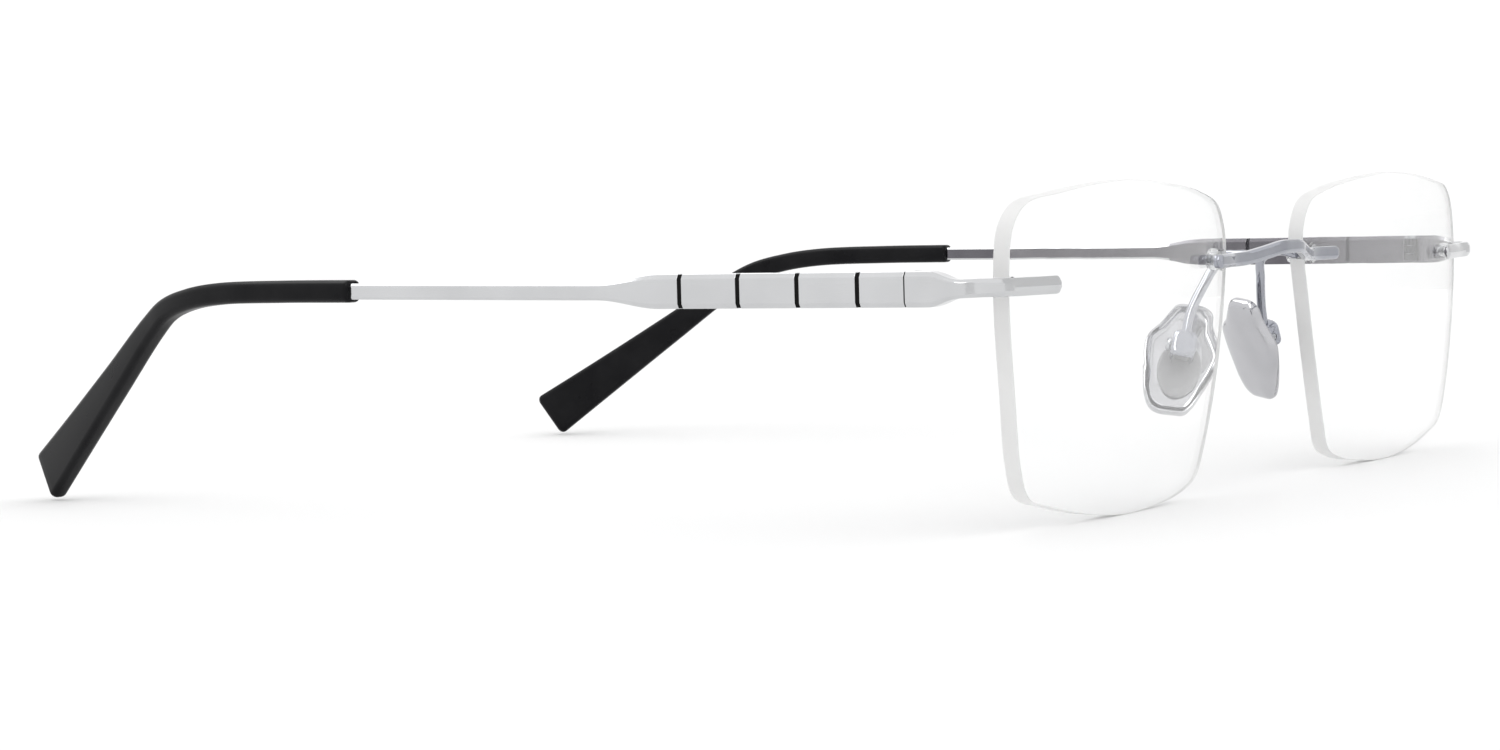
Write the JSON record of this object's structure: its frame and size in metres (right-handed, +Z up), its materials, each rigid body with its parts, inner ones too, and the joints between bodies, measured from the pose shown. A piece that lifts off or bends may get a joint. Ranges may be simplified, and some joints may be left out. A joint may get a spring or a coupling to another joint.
{
  "type": "rimless eyeglasses",
  "caption": "Rimless eyeglasses: clear curved lenses on a slim metal bridge, folding slotted metal temples with black tips, and rocking silver nose pads.",
  "frame": {"origin": "on the table, under the middle of the whole object with both temples open", "axes": "+Z up, the front faces -Y, the wearer's left is +X, and X = 0 is the plane between the two halves"},
  "size_m": [0.1478, 0.1462, 0.0367],
  "materials": {
    "lens": "clear polished resin with a fine-ground edge",
    "silver_metal": "bright silver, softly polished",
    "polished_metal": "mirror polished",
    "screw_steel": "turned steel",
    "black_plastic": "semi-gloss black",
    "slot_filler": "matt black",
    "clear_plastic": "clear nylon",
    "pad_silver": "polished silver colour, grey where it is hollow"
  },
  "bodies": {
    "front": {"bridge": "polished_metal", "right_lens": "lens", "left_lens": "lens", "right_bridge_washer": "clear_plastic", "left_bridge_washer": "clear_plastic", "right_endpiece_washer": "clear_plastic", "left_endpiece_washer": "clear_plastic", "right_pad_arm": "polished_metal", "left_pad_arm": "polished_metal", "right_pad_box": "polished_metal", "left_pad_box": "polished_metal", "right_pad_screw": "screw_steel", "left_pad_screw": "screw_steel", "right_endpiece": "silver_metal", "left_endpiece": "silver_metal", "right_endpiece_hinge": "silver_metal", "left_endpiece_hinge": "silver_metal", "right_hinge_screw": "screw_steel", "left_hinge_screw": "screw_steel"},
    "right_temple": {"right_temple": "silver_metal", "right_temple_hinge": "silver_metal", "right_temple_tip": "black_plastic", "right_slot_strip_1": "slot_filler", "right_slot_strip_2": "slot_filler", "right_slot_strip_3": "slot_filler", "right_slot_strip_4": "slot_filler"},
    "left_temple": {"left_temple": "silver_metal", "left_temple_hinge": "silver_metal", "left_temple_tip": "black_plastic", "left_slot_strip_1": "slot_filler", "left_slot_strip_2": "slot_filler", "left_slot_strip_3": "slot_filler", "left_slot_strip_4": "slot_filler"},
    "right_nose_pad": {"right_nose_pad": "pad_silver", "right_pad_core": "clear_plastic"},
    "left_nose_pad": {"left_nose_pad": "pad_silver", "left_pad_core": "clear_plastic"}
  },
  "joints": [
    {"name": "right_temple_fold", "type": "hinge", "parent": "front", "child": "right_temple", "pos_m": [-0.0707, -0.06034, 0.02596], "axis": [0, 0, 1], "range_deg": [-84, 0]},
    {"name": "left_temple_fold", "type": "hinge", "parent": "front", "child": "left_temple", "pos_m": [0.0707, -0.06034, 0.02596], "axis": [0, 0, 1], "range_deg": [0, 73]},
    {"name": "right_pad_rock", "type": "hinge", "parent": "front", "child": "right_nose_pad", "pos_m": [-0.01374, -0.06353, 0.01706], "axis": [-0.3697, 0.9043, 0.2134], "range_deg": [-8, 8]},
    {"name": "left_pad_rock", "type": "hinge", "parent": "front", "child": "left_nose_pad", "pos_m": [0.01374, -0.06353, 0.01706], "axis": [0.3697, 0.9043, 0.2134], "range_deg": [-8, 8]}
  ]
}
